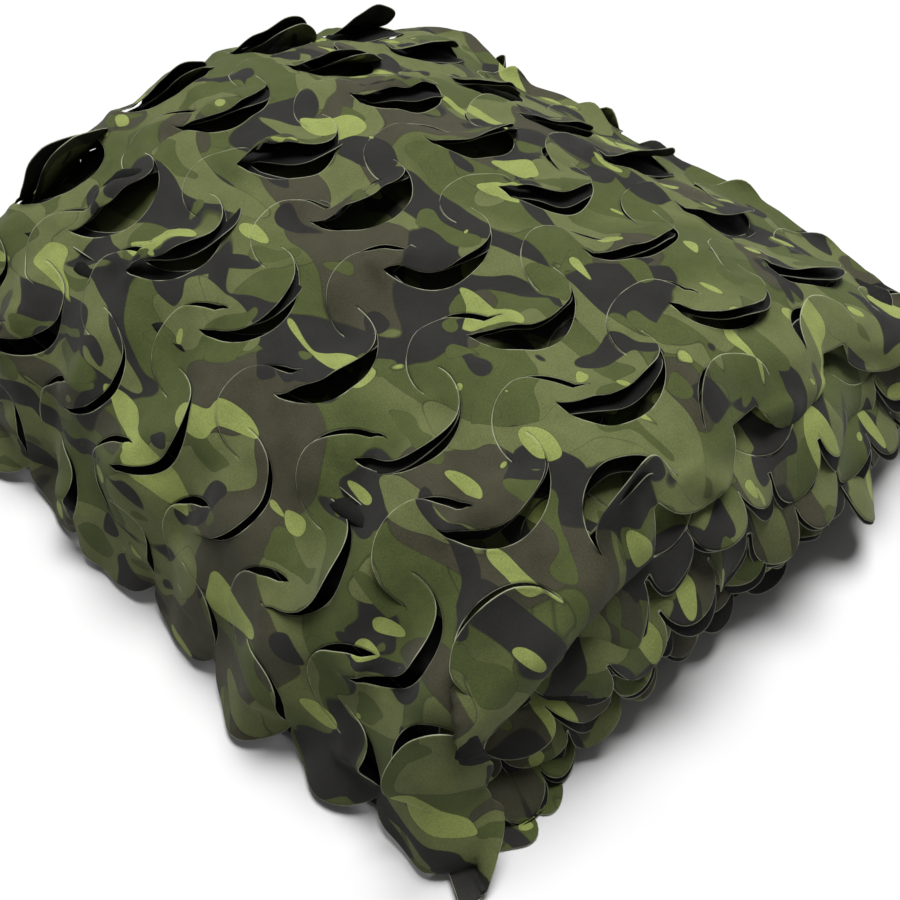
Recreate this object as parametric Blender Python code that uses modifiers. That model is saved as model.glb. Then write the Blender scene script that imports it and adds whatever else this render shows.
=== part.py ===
"""A camouflage net of thin laser-cut cloth, folded back and forth into a domed bundle.

The net is one long strip. It starts flat on the ground, turns over at each side, and its last length
covers the whole pile and hangs over the left side down to the ground. The strip is laid out flat
first, as it is cut: its long edges are rows of half leaves, and the covering length has a crescent
cut beside each leaf. The flat cloth is then folded, each leaf is bent up along its root, and the
cloth gets its thickness. Metres, +Z up, the origin on the ground under the bundle's middle.
"""

import math
import random

import bmesh
import bpy
from mathutils import Vector
from mathutils.geometry import delaunay_2d_cdt

NAME = "camouflage_net"
THICKNESS = 0.002
CLOTH_COLOUR = (0.10, 0.13, 0.05, 1.0)
CLOTH_ROUGHNESS = 0.85

# The pile: X runs along the folds, Y from the hanging side to the folded side.
CROWN_HEIGHT = 0.186
CROWN_X = 0.046
CROWN_Y = 0.030
FRONT_X = 0.289
BACK_X = -0.287
LEFT_Y = -0.234
RIGHT_Y = 0.252
FRONT_SHARE = 0.78  # height at the front edge over the crown's height
BACK_SHARE = 0.40
RIGHT_SHARE = 0.50
FRONT_POWER = 5.0  # a higher power keeps the top level for longer before it falls
BACK_POWER = 5.0
RIGHT_POWER = 1.9
LEFT_POWER = 2.1  # the left side is a quarter of a superellipse of this power
FURTHEST = 1.1  # how far past the front and back the height still falls, over the distance to them
CORNER_PULL = 0.016  # how far the left side draws in at its front and back corners
CORNER_POWER = 4

# The layers, from the ground up. Each row gives how far its turns reach to the left and to the
# right, and how far its cut edges reach to the back and to the front.
LAYER_COLUMNS = ("left", "right", "back", "front")
LAYERS = [
    dict(zip(LAYER_COLUMNS, row))
    for row in (
        (-0.217, 0.238, -0.274, 0.270),
        (-0.217, 0.243, -0.268, 0.262),
        (-0.213, 0.243, -0.277, 0.275),
        (-0.213, 0.246, -0.270, 0.268),
        (-0.206, 0.246, -0.279, 0.282),
        (-0.206, 0.245, -0.271, 0.273),
        (-0.196, 0.245, -0.278, 0.286),
        (-0.196, 0.244, -0.269, 0.276),
        (-0.181, 0.244, -0.277, 0.284),
        (-0.181, 0.241, -0.267, 0.272),
        (-0.156, 0.241, -0.275, 0.278),
        (-0.156, 0.235, -0.266, 0.269),
        (-0.156, 0.235, -0.272, 0.254),
    )
]
TOP = len(LAYERS) - 1
TURN_LENGTH = math.pi / 2 * CROWN_HEIGHT / TOP  # of cloth, flat
TURN_BULGE = 1.3  # a turn's depth over half its height
TURN_STEPS = 4
SECTION_STEPS = 160  # along the covering length, on each side of the crown
LEAST_SPACING = 0.003  # between the middles of two layers
HEM_HEIGHT = 0.005  # how far above the ground the hanging end stops
HEM_FLARE = 0.010  # how far its half leaves stand out

# The unevenness of the folded cloth. Each wave has a share of the height and its lengths.
WAVE = 0.020
WAVE_LENGTH_X = 0.23
WAVE_LENGTH_Y = 0.19
RUFFLE = 0.045
RUFFLE_LENGTH = 0.115
RUFFLE_SLANT = 9.0  # radians per metre along X
RUFFLE_DEPTH = 0.090  # how far in from the front and back edges the ruffles run
LAYER_WAVE = 0.20  # share of the free space that each layer waves up and down by itself
LAYER_WAVE_LENGTH = 0.088
LAYER_WAVE_STEP = 2.1  # radians from one layer to the next
LAYER_WAVE_SLANT = 8.0  # radians per metre along X

# The half leaves along the cut edges. Each row gives their repeat, their depth and the points in one.
EDGE_COLUMNS = ("pitch", "depth", "steps")
EDGES = {
    "front": dict(zip(EDGE_COLUMNS, (0.0480, 0.016, 4))),
    "back": dict(zip(EDGE_COLUMNS, (0.0961, 0.020, 4))),
    "cover_front": dict(zip(EDGE_COLUMNS, (0.0961, 0.030, 6))),
    "hem": dict(zip(EDGE_COLUMNS, (0.0480, 0.012, 4))),
}
EDGE_UNEVENNESS = 0.30
EDGE_ROUNDNESS = 0.6
EDGE_DROOP = 0.55  # share of the free space to the layer below

# The leaves: one beside each crescent cut, on a rectangular repeat. Front leaves point to the front.
# Back leaves lie between them and point to the back, and stand open only in the front half.
LEAF_PITCH_X = 0.0676
LEAF_PITCH_Y = 0.0961
LEAF_FIRST_X = -0.2244
LEAF_FIRST_Y = 0.0014
LEAF_STEP_Y = -0.0014  # each column starts this much further along Y
LEAF_COLUMN_COUNT = 8
LEAF_MOST_ROWS = 4  # on each side of the first row
LEAF_KIND_COLUMNS = ("facing", "radius", "shift_x", "shift_y", "gap", "lift", "first_column")
FRONT_LEAF = dict(zip(LEAF_KIND_COLUMNS, (1, 0.035, 0.0, 0.0, 0.0065, 0.019, 0)))
BACK_LEAF = dict(zip(LEAF_KIND_COLUMNS, (-1, 0.031, 0.0023, 0.0484, 0.0055, 0.012, 4)))
CUT_HALF_ANGLE = math.radians(80)
CUT_STEPS = 6
LEAST_CUT = -0.5  # a cut that would cross the hem stops short of it, or is left out below this
LEAF_MARGIN = 0.006
LEAF_ROOT = -0.25  # where a leaf starts to bend, from its middle, in radii
LEAF_BEND_POWER = 1.4
LEAF_TAPER_POWER = 3  # a leaf's lift falls off towards the two ends of its cut
LEAF_LIFT_UNEVENNESS = 0.3
LEAF_INNER_POINTS = ((-0.25, 0.45), (-0.25, -0.45), (0.35, 0.42), (0.35, -0.42), (0.55, 0.0))

# How far apart the points inside the cloth are.
PANEL_STEP_X = 0.085
PANEL_STEP_Y = 0.088
COVER_STEP = 0.034
NORMAL_STEP = 0.0001
ROUNDING = 1e-6
CHANCE = random.Random(7)


def remove_all_objects():
    for obj in list(bpy.data.objects):
        bpy.data.objects.remove(obj, do_unlink=True)


def uneven(share):
    """A factor that varies at random by this share up or down."""
    return 1 + share * CHANCE.uniform(-1, 1)


def share_along_x(x):
    """The pile's height at x over its height at the crown."""
    if x > CROWN_X:
        reach = (x - CROWN_X) / (FRONT_X - CROWN_X)
        return 1 - (1 - FRONT_SHARE) * min(reach, FURTHEST) ** FRONT_POWER
    reach = (CROWN_X - x) / (CROWN_X - BACK_X)
    return 1 - (1 - BACK_SHARE) * min(reach, FURTHEST) ** BACK_POWER


def share_along_y(y):
    """The pile's height at y over its height at the crown."""
    if y > CROWN_Y:
        return 1 - (1 - RIGHT_SHARE) * ((y - CROWN_Y) / (RIGHT_Y - CROWN_Y)) ** RIGHT_POWER
    reach = min((CROWN_Y - y) / (CROWN_Y - LEFT_Y), 1.0)
    return (1 - reach**LEFT_POWER) ** (1 / LEFT_POWER)


def unevenness(x, y):
    """Gentle waves all over and shorter ruffles near the cut edges, as a factor of the height."""
    wave = WAVE * math.sin(math.tau * x / WAVE_LENGTH_X) * math.cos(math.tau * y / WAVE_LENGTH_Y)
    from_edge = max(0.0, min(FRONT_X - x, x - BACK_X))
    near = max(0.0, 1 - from_edge / RUFFLE_DEPTH)
    return 1 + wave + RUFFLE * near**2 * math.sin(math.tau * y / RUFFLE_LENGTH + RUFFLE_SLANT * x)


def pile_height(x, y):
    return CROWN_HEIGHT * share_along_x(x) * share_along_y(y) * unevenness(x, y)


def free_space(x, y):
    """How far one layer may move at x, y before it comes too near the next."""
    return max(0.0, (pile_height(x, y) - THICKNESS / 2) / TOP - LEAST_SPACING)


def layer_height(layer, x, y):
    """The middle of a layer's thickness: spaced evenly from the ground to the top, with its own waves."""
    ground = THICKNESS / 2
    even = ground + layer / TOP * (pile_height(x, y) - ground)
    if layer in (0, TOP):
        return even
    wave = math.sin(math.tau * y / LAYER_WAVE_LENGTH + LAYER_WAVE_STEP * layer)
    return even + LAYER_WAVE * free_space(x, y) * wave * math.cos(LAYER_WAVE_SLANT * x + layer)


def cover_section():
    """Rows of (length, y, share of the height) along the covering length at the crown, from right to left."""
    right = LAYERS[TOP]["right"]
    places = [right + (CROWN_Y - right) * i / SECTION_STEPS for i in range(SECTION_STEPS)]
    for i in range(SECTION_STEPS + 1):
        turn = math.sin(math.pi / 2 * i / SECTION_STEPS)
        places.append(CROWN_Y - (CROWN_Y - LEFT_Y) * turn ** (2 / LEFT_POWER))
    rows = [(0.0, right, share_along_y(right))]
    for y in places[1:]:
        share = share_along_y(y)
        if CROWN_HEIGHT * share < HEM_HEIGHT:
            break
        length, last_y, last_share = rows[-1]
        rows.append((length + math.hypot(y - last_y, CROWN_HEIGHT * (share - last_share)), y, share))
    return rows


SECTION = cover_section()
COVER_LENGTH = SECTION[-1][0]
CROWN_LENGTH = min(SECTION, key=lambda row: abs(row[1] - CROWN_Y))[0]


def cover_place(x, length):
    """The point of the covering length at x, this far along the cloth from its right-hand turn."""
    length = min(max(length, 0.0), COVER_LENGTH)
    index = max(1, next(i for i, row in enumerate(SECTION) if row[0] >= length))
    before = SECTION[index - 1]
    after = SECTION[index]
    part = (length - before[0]) / (after[0] - before[0])
    y = before[1] + part * (after[1] - before[1])
    share = before[2] + part * (after[2] - before[2])
    height = CROWN_HEIGHT * share_along_x(x) * share * unevenness(x, y)
    return Vector((x, y, max(height, HEM_HEIGHT / 2)))


def cover_normal(x, length):
    across = cover_place(x + NORMAL_STEP, length) - cover_place(x - NORMAL_STEP, length)
    along = cover_place(x, length - NORMAL_STEP) - cover_place(x, length + NORMAL_STEP)
    return across.cross(along).normalized()


def goes_left(layer):
    return layer % 2 == 0


def layer_place(layer, x, part):
    """A point on a layer, where part goes from 0 at the turn before it to 1 at the turn after it."""
    row = LAYERS[layer]
    start, end = (row["right"], row["left"]) if goes_left(layer) else (row["left"], row["right"])
    y = start + part * (end - start)
    return Vector((x, y, layer_height(layer, x, y)))


def turn_place(layer, x, part):
    """A point on the turn above a layer, where part goes from 0 at that layer to 1 at the next."""
    side, outward = ("left", -1) if goes_left(layer) else ("right", 1)
    y = LAYERS[layer][side]
    low = layer_height(layer, x, y)
    radius = (layer_height(layer + 1, x, y) - low) / 2
    angle = math.pi * (part - 0.5)
    depth = TURN_BULGE * radius * math.cos(angle)
    return Vector((x, y + outward * depth, low + radius * (1 + math.sin(angle))))


def corners_drawn_in(point):
    """Moves a point by the pull that rounds the bundle's two left corners in plan."""
    middle = (FRONT_X + BACK_X) / 2
    along_x = min(abs(point.x - middle) / (FRONT_X - middle), 1.0)
    along_y = max(0.0, CROWN_Y - point.y) / (CROWN_Y - LEFT_Y)
    return point + Vector((0.0, CORNER_PULL * (along_x * along_y) ** CORNER_POWER, 0.0))


def folded(stretch, x, part, droop, lift):
    """Where a point of the flat strip lies in the bundle."""
    layer = stretch["layer"]
    if stretch["kind"] == "turn":
        return corners_drawn_in(turn_place(layer, x, part))
    if stretch["kind"] == "cover":
        length = part * stretch["length"]
        point = cover_place(x, length)
        if lift:
            point += lift * cover_normal(x, length)
    else:
        point = layer_place(layer, x, part)
    if layer > 0:
        point.z -= EDGE_DROOP * droop * free_space(point.x, point.y)
    return corners_drawn_in(point)


def leaf_middle(kind, column, row):
    """The flat (x, length) of the middle of a leaf."""
    x = LEAF_FIRST_X + column * LEAF_PITCH_X + kind["shift_x"]
    y = LEAF_FIRST_Y + row * LEAF_PITCH_Y + column * LEAF_STEP_Y + kind["shift_y"]
    return x, CROWN_LENGTH - (y - CROWN_Y)


def leaf_at(kind, column, row):
    """A leaf's kind, its middle and the angle where its cut ends, or None where the cloth has no room for it."""
    x, length = leaf_middle(kind, column, row)
    tip = kind["radius"] if kind["facing"] > 0 else -kind["radius"] * math.cos(CUT_HALF_ANGLE)
    room = COVER_LENGTH - EDGES["hem"]["depth"] - LEAF_MARGIN - length
    reach = min(1.0, room / kind["radius"])
    too_wide = x + tip > LAYERS[TOP]["front"] - LEAF_MARGIN
    if too_wide or length < kind["radius"] + LEAF_MARGIN or reach < LEAST_CUT:
        return None
    return {"kind": kind, "x": x, "length": length, "end": min(CUT_HALF_ANGLE, math.asin(reach))}


def cover_leaves():
    leaves = [
        leaf_at(kind, column, row)
        for kind in (FRONT_LEAF, BACK_LEAF)
        for column in range(kind["first_column"], LEAF_COLUMN_COUNT)
        for row in range(-LEAF_MOST_ROWS, LEAF_MOST_ROWS)
    ]
    return [leaf for leaf in leaves if leaf]


def crescent(leaf):
    """The flat outline of the opening beside a leaf: the cut in the net, then back along the leaf's edge."""
    kind = leaf["kind"]
    turn = leaf["end"] + CUT_HALF_ANGLE
    outer = []
    inner = []
    for i in range(CUT_STEPS + 1):
        angle = turn * i / CUT_STEPS - CUT_HALF_ANGLE
        gap = kind["gap"] * math.sin(math.pi * i / CUT_STEPS)
        across = kind["radius"] * math.cos(angle)
        length = leaf["length"] + kind["radius"] * math.sin(angle)
        outer.append((leaf["x"] + kind["facing"] * across, length))
        inner.append((leaf["x"] + kind["facing"] * (across - gap), length))
    return outer, inner[-2:0:-1]


class FlatStrip:
    """The cut cloth before folding: its points with what each needs for folding, and its outlines."""

    def __init__(self):
        self.points = []
        self.places = []
        self.edges = []
        self.outlines = []

    def add(self, stretch, x, part, droop=0.0, lift=0.0):
        """Adds the point at x and this part of the way along a stretch, and returns its index."""
        self.points.append(Vector((x, stretch["start"] + part * stretch["length"])))
        self.places.append((stretch, x, part, droop, lift))
        return len(self.points) - 1

    def join(self, indices, closed=False):
        """Makes the triangles follow the line through these points."""
        self.edges += list(zip(indices, indices[1:]))
        if closed:
            self.edges.append((indices[-1], indices[0]))
            self.outlines.append(indices)


def strip_stretches():
    """The stretches of the strip in order, from its free end on the ground to its hanging end."""
    found = []
    start = 0.0
    for layer, row in enumerate(LAYERS):
        kinds = [("cover", COVER_LENGTH)]
        if layer < TOP:
            kinds = [("layer", row["right"] - row["left"]), ("turn", TURN_LENGTH)]
        for kind, length in kinds:
            found.append({"kind": kind, "layer": layer, "start": start, "length": length})
            start += length
    return found


def edge_x(stretch, part, side):
    """The x of a long edge without its half leaves. Round a turn it runs evenly to the next layer's."""
    here = LAYERS[stretch["layer"]][side]
    if stretch["kind"] == "turn":
        return here + part * (LAYERS[stretch["layer"] + 1][side] - here)
    return here


def half_leaf(repeats):
    """How far out the outline of a row of half leaves is after this many repeats, from 0 to 1."""
    return abs(math.sin(math.pi * repeats)) ** EDGE_ROUNDNESS


def edge_samples(stretch, side):
    """(part, depth, droop) of the points of a long edge with its half leaves, without the last point."""
    if stretch["kind"] == "turn":
        return [(i / TURN_STEPS, 0.0, 0.0) for i in range(TURN_STEPS)]
    edge = EDGES[side]
    first = stretch["layer"] / edge["steps"]
    if (stretch["kind"], side) == ("cover", "front"):
        # Here the half leaves are the last column of the front leaves.
        edge = EDGES["cover_front"]
        first = leaf_middle(FRONT_LEAF, LEAF_COLUMN_COUNT - 1, 0)[1] / edge["pitch"] - 0.5
    count = round(stretch["length"] / edge["pitch"] * edge["steps"])
    found = []
    for i in range(count):
        tip = half_leaf(i / count * stretch["length"] / edge["pitch"] - first)
        found.append((i / count, edge["depth"] * tip * uneven(EDGE_UNEVENNESS), tip))
    return found


def columns(low, high, step):
    count = max(2, round((high - low) / step))
    return [low + (high - low) * i / count for i in range(count + 1)]


def add_hem(strip, cover):
    """Adds the hanging end with its half leaves, from back to front."""
    edge = EDGES["hem"]
    row = LAYERS[TOP]
    hem = []
    for i, x in enumerate(columns(row["back"], row["front"], edge["pitch"] / edge["steps"])):
        tip = half_leaf(i / edge["steps"])
        part = 1 - edge["depth"] * (1 - tip) / cover["length"]
        hem.append(strip.add(cover, x, part, lift=HEM_FLARE * tip * uneven(EDGE_UNEVENNESS)))
    return hem


def add_outline(strip, stretches):
    """Adds the outline of the strip. Returns, for each stretch, the indices at its start on both sides."""
    back = []
    front = []
    starts = []
    for stretch in stretches:
        starts.append((len(back), len(front)))
        for side, line, outward in (("back", back, -1), ("front", front, 1)):
            for part, depth, droop in edge_samples(stretch, side):
                x = edge_x(stretch, part, side) + outward * depth
                line.append(strip.add(stretch, x, part, droop=droop))
    hem = add_hem(strip, stretches[-1])
    free_end = columns(LAYERS[0]["back"], LAYERS[0]["front"], PANEL_STEP_X)[1:-1]
    end = [strip.add(stretches[0], x, 0.0) for x in free_end]
    strip.join(end + front + hem[::-1] + back[::-1], closed=True)
    return [(back[b], front[f]) for b, f in starts]


def add_rows(strip, stretches, starts):
    """Adds the points inside the layers and turns, in rows across the strip."""
    for index, stretch in enumerate(stretches):
        if stretch["kind"] == "turn":
            parts = [i / TURN_STEPS for i in range(TURN_STEPS)]
        elif stretch["kind"] == "cover":
            parts = [0.0]
        else:
            count = round(stretch["length"] / PANEL_STEP_Y)
            parts = [i / count for i in range(0 if index else 1, count)]
        for part in parts:
            low = edge_x(stretch, part, "back")
            high = edge_x(stretch, part, "front")
            row = [strip.add(stretch, x, part) for x in columns(low, high, PANEL_STEP_X)[1:-1]]
            if part == 0.0:
                row = [starts[index][0]] + row + [starts[index][1]]
            strip.join(row)


def add_on_leaf(strip, cover, leaf, full_lift, place):
    """Adds a point of a leaf, which stands off the cloth by a smooth bend from its root to its edge."""
    kind = leaf["kind"]
    across = kind["facing"] * (place[0] - leaf["x"]) / kind["radius"]
    along = (place[1] - leaf["length"]) / (kind["radius"] * math.sin(CUT_HALF_ANGLE))
    bend = max(0.0, across - LEAF_ROOT) / (1 - LEAF_ROOT)
    lift = full_lift * bend**LEAF_BEND_POWER * (1 - abs(along) ** LEAF_TAPER_POWER)
    return strip.add(cover, place[0], place[1] / cover["length"], lift=lift)


def add_leaf(strip, cover, leaf):
    """Adds the opening beside a leaf and the points that bend the leaf."""
    kind = leaf["kind"]
    full_lift = kind["lift"] * uneven(LEAF_LIFT_UNEVENNESS)
    outer, inner = crescent(leaf)
    ring = [strip.add(cover, x, length / cover["length"]) for x, length in outer]
    ring += [add_on_leaf(strip, cover, leaf, full_lift, place) for place in inner]
    strip.join(ring[:: kind["facing"]], closed=True)
    for across, along in LEAF_INNER_POINTS:
        if along < math.sin(leaf["end"]):
            x = leaf["x"] + kind["facing"] * across * kind["radius"]
            add_on_leaf(strip, cover, leaf, full_lift, (x, leaf["length"] + along * kind["radius"]))


def add_cover(strip, cover):
    """Adds the leaves of the covering length and the points between them."""
    leaves = cover_leaves()
    for leaf in leaves:
        add_leaf(strip, cover, leaf)
    row = LAYERS[TOP]
    for length in columns(0.0, cover["length"], COVER_STEP)[1:-1]:
        for x in columns(row["back"], row["front"], COVER_STEP)[1:-1]:
            nearest = min(math.hypot(x - leaf["x"], length - leaf["length"]) for leaf in leaves)
            if nearest > FRONT_LEAF["radius"] + LEAF_MARGIN:
                strip.add(cover, x, length / cover["length"])


def strip_mesh(strip):
    """The folded strip as a sheet without thickness. The triangles of the openings are left out."""
    result = delaunay_2d_cdt(strip.points, strip.edges, strip.outlines, 1, ROUNDING)
    flat, faces, sources, owners = result[0], result[2], result[3], result[5]
    mesh = bpy.data.meshes.new(NAME)
    shape = bmesh.new()
    corners = [shape.verts.new(folded(*strip.places[sources[i][0]])) for i in range(len(flat))]
    for face, owner in zip(faces, owners):
        if owner == [0]:
            shape.faces.new([corners[i] for i in face])
    loose = [corner for corner in shape.verts if not corner.link_faces]
    bmesh.ops.delete(shape, geom=loose, context="VERTS")
    shape.to_mesh(mesh)
    shape.free()
    return mesh


def cloth_material():
    material = bpy.data.materials.new("printed_cloth")
    material.use_nodes = True
    surface = material.node_tree.nodes["Principled BSDF"]
    surface.inputs["Base Color"].default_value = CLOTH_COLOUR
    surface.inputs["Roughness"].default_value = CLOTH_ROUGHNESS
    return material


def add_net(collection):
    stretches = strip_stretches()
    strip = FlatStrip()
    starts = add_outline(strip, stretches)
    add_rows(strip, stretches, starts)
    add_cover(strip, stretches[-1])
    net = bpy.data.objects.new(NAME, strip_mesh(strip))
    net.data.materials.append(cloth_material())
    net.data.shade_smooth()
    thicken = net.modifiers.new("thickness", "SOLIDIFY")
    thicken.thickness = THICKNESS
    thicken.offset = 0.0
    collection.objects.link(net)


def main():
    remove_all_objects()
    collection = bpy.data.collections.new(NAME)
    bpy.context.scene.collection.children.link(collection)
    add_net(collection)


main()
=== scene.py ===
"""The looks of a folded camouflage net: fine cloth on the folds of the CAD solid, with its camera, light and floor.

The cloth is one long printed strip, folded back and forth. Each part of the strip is laid out flat, cut along
its slits and put on its folds. Then its leaves are bent, it is wrinkled and its edges droop. Metres, +Z up.
"""

import math

import bpy
import numpy as np
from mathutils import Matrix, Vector
from mathutils.geometry import delaunay_2d_cdt
from mathutils.kdtree import KDTree


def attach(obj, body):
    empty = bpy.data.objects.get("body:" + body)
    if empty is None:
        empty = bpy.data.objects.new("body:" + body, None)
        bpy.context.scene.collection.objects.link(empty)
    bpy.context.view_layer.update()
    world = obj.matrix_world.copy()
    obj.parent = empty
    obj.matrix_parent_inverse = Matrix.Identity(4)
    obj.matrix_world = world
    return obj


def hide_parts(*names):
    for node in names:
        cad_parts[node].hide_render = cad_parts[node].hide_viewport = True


TAU = math.tau
TINY = 1e-12  # keeps a length from being nought
SAME_PLACE = 1e-4
OUTWARD = {"front": 1, "back": -1}  # the way along x that each cut edge faces

# The pile, as in the CAD model.
CROWN_HEIGHT = 0.186
CROWN_X = 0.046
CROWN_Y = 0.030
FRONT_X = 0.289
BACK_X = -0.287
LEFT_Y = -0.234
RIGHT_Y = 0.252
FRONT_SHARE = 0.78
BACK_SHARE = 0.40
RIGHT_SHARE = 0.50
END_POWER = 5.0
RIGHT_POWER = 1.9
LEFT_POWER = 2.1
FURTHEST = 1.1
CORNER_PULL = 0.016
CORNER_POWER = 4
LAYERS = [
    (-0.217, 0.238, -0.274, 0.270),
    (-0.217, 0.243, -0.268, 0.262),
    (-0.213, 0.243, -0.277, 0.275),
    (-0.213, 0.246, -0.270, 0.268),
    (-0.206, 0.246, -0.279, 0.282),
    (-0.206, 0.245, -0.271, 0.273),
    (-0.196, 0.245, -0.278, 0.286),
    (-0.196, 0.244, -0.269, 0.276),
    (-0.181, 0.244, -0.277, 0.284),
    (-0.181, 0.241, -0.267, 0.272),
    (-0.156, 0.241, -0.275, 0.278),
    (-0.156, 0.235, -0.266, 0.269),
    (-0.156, 0.235, -0.272, 0.254),
]
LAYERS = [dict(zip(("left", "right", "back", "front"), row)) for row in LAYERS]
TOP = len(LAYERS) - 1
LEFT_ROOM = 0.011  # how far inside their CAD place the layers' left turns keep, for the cover's wrinkles
for row in LAYERS[2:TOP]:
    row["left"] += LEFT_ROOM
TURN_LENGTH = math.pi / 2 * CROWN_HEIGHT / TOP
TURN_BULGE = 1.3
SECTION_STEPS = 400
HEM_HEIGHT = 0.005
CLOTH_BASE = 0.001  # the height of the cloth that lies on the ground
WAVE = 0.020
WAVE_LENGTH_X = 0.23
WAVE_LENGTH_Y = 0.19
RUFFLE = 0.045
RUFFLE_LENGTH = 0.115
RUFFLE_SLANT = 9.0
RUFFLE_DEPTH = 0.090
BACK_SAG = 0.095  # how much lower the far right corner lies, as a share of its height
SAG_Y = (0.03, 0.14)  # where the sag starts, and over what distance it grows
SAG_X = (0.07, 0.20)

# The slits: pairs of hooked arcs on a rectangular repeat, as in the CAD model. The last columns of a leaf are the
# room that it needs before an edge, in radii, and in degrees where its rim opens and how widely.
PITCH_X = 0.0676
PITCH_Y = 0.0961
FIRST_X = -0.2244
FIRST_Y = 0.0014
STEP_Y = -0.0014
LEAF_COLUMNS = ("facing", "radius", "shift_x", "shift_y", "room", "at", "spread")
FRONT_LEAF = dict(zip(LEAF_COLUMNS, (1, 0.035, 0.0, 0.0, 1.0, (5, 50), (48, 66))))
BACK_LEAF = dict(zip(LEAF_COLUMNS, (-1, 0.031, 0.0023, 0.0484, -0.2, (-70, -45), (22, 36))))
COLUMN_COUNT = 8
COVER_ROWS = range(-4, 4)
LAYER_ROWS = range(-1, 7)
HALF_ANGLE = math.radians(98)
HEM_MARGIN = 0.024
LEAST_REACH = -0.5  # how much of a leaf has to lie before the hem, in radii beyond its middle
SIDE_MARGIN = 0.006
TURN_MARGIN = 0.05
SEEN_TO = 0.15  # how far in from a cut edge the slits of the layers can be seen

# The widest opening in front of each front leaf of the covering length, in millimetres, by row from the hanging
# side to the folded side, and by column from the back to the front.
FRONT_GAPS = {
    -3: (8, 6, 12, 3, 2, 7, 12),
    -2: (8, 10, 4, 5, 3, 8, 8),
    -1: (14, 14, 10, 5, 8, 6, 11),
    0: (8, 10, 16, 12, 7, 12, 14),
    1: (10, 14, 13, 14, 9, 5, 14),
    2: (12, 9, 10, 5, 9, 4, 7),
}
# The leaves that stand up as a whole, by row and column, and how far their tips turn up, in degrees.
FRONT_BENDS = {
    (-2, 5): 26, (-1, 0): 78, (0, 0): 30, (1, 0): 50, (1, 1): 36, (1, 3): 38, (1, 5): 12, (1, 6): 30,
    (2, 0): 60, (2, 1): 34, (2, 2): 14, (2, 3): 16, (2, 4): 46, (2, 5): 34, (2, 6): 30,
}
BACK_BENDS = {(-3, 7): 72, (-2, 6): 24, (-2, 7): 62, (-1, 7): 105, (0, 7): 26, (1, 7): 34, (1, 4): 22, (1, 3): 18}
# How far the other leaves turn up, in degrees.
TOP_BEND = (6, 18)
HANGING_BEND = (0, 5)
HANGING_TO = -2  # the last row of the hanging side
BACK_BEND = (2, 7)
LAYER_BEND = (-6, 6)
SPRING_BEND = 4
BACK_GAP = 4.5
CALM_FROM = 25  # a leaf that turns up further, in degrees, hardly buckles
CALM_GAP = 0.3
ODD_GAPS = (0.75, 1.25)
# The ranges of how a leaf's rim buckles.
RIM_RANGES = {
    "rise": (0.28, 0.62),
    "arch": (0.30, 0.55),
    "twist": (-0.45, 0.45),
    "wave": (0.0003, 0.0016),
    "phase": (0, TAU),
    "cup": (-0.005, 0.002),
}
# A leaf under one of the cover's: how far off it lies, and its bend, gap and buckling as shares of that one's.
NESTED = {"along": (-0.002, 0.002), "x": (-0.001, 0.003), "bend": (0.8, 1.02), "gap": (0.3, 1.5), "buckling": -1.1}
CLOSED_FROM = math.radians(30)  # a leaf that turns up further has a closed slit below it, from this Y on
CLOSED_Y = 0.1
CLOSED_BEND = -0.1
# How the leaves across a fold stand off it: how far they straighten, and how steeply they rise, in degrees.
SPRING = (0.45, 0.80)
SPRING_RISE = (-35, 45)
SPRING_ODDS = (-0.008, 0.008)
SPRING_BEYOND = 0.003  # they leave the cloth this far beyond the turn
SPRING_OVER = 0.030  # and reach their slope over this distance
SPRING_GROW = (-0.25, 0.90)
TOP_SPRINGS = {2: (0.75, 62), 3: (0.60, 40), 4: (0.92, 60), 5: (0.98, 72), 6: (0.85, 84), 7: (0.98, 70)}
TOP_SPRING_ROW = 2

# How a leaf bends: where its bend starts, from its middle, over what distance it grows, both in radii, and how.
LEAF_ROOT = -0.14
LEAF_GROW = 0.30
LEAF_BEND_POWER = 0.8
BEND_STEPS = 48
# How its rim buckles: the waves round it, how it opens and lifts along the leaf, and where it fades out.
RIM_WAVES = 2.6
RIM_FADE = 0.45
SHORT_FADE = 0.55
PULL_POWER = 1.6
LIFT_POWER = 1.8
LEAST_GROW = 0.2
# The cloth in front of a leaf gives way: over this width, by shares of the leaf's height and gap, up to a limit.
DIP = {"width": 0.011, "height": 0.13, "gap": 0.10, "most": 0.0025}

# The front edge of the covering length, along Y laid flat: how far it reaches beyond the CAD edge line, how deep
# its scallops are, and how far it rolls down, in degrees.
COVER_FRONT = [
    (-0.330, 0.043, 0.000, 5),
    (-0.300, 0.034, 0.004, 40),
    (-0.262, 0.026, 0.012, 80),
    (-0.215, 0.028, 0.008, 84),
    (-0.165, 0.024, 0.006, 80),
    (-0.100, 0.026, 0.003, 80),
    (-0.062, 0.026, 0.003, 74),
    (-0.048, 0.002, 0.030, 30),
    (0.040, 0.000, 0.031, 24),
    (0.130, 0.000, 0.031, 38),
    (0.175, 0.000, 0.026, 20),
    (0.230, 0.000, 0.024, -30),
]
COVER_FRONT = dict(zip(("y", "reach", "scallop", "roll"), zip(*COVER_FRONT)))
BACK_SCALLOP = 0.020
BACK_SCALLOP_Y = -0.01
# The pointed fold at the near corner: its ends on the flat cover (x and Y), the widths of its sides, how far its
# tip leans over and stands up, how its height falls off, and where it fades out beyond the tip.
CORNER_FOLD = {
    "tip": (0.272, -0.212),
    "root": (0.205, -0.150),
    "steep_side": 0.005,
    "long_side": 0.026,
    "lean": (-0.014, -0.016, -0.002),
    "rise": 0.010,
    "power": 0.9,
    "fade": (-0.35, 0.3),
}

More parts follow.
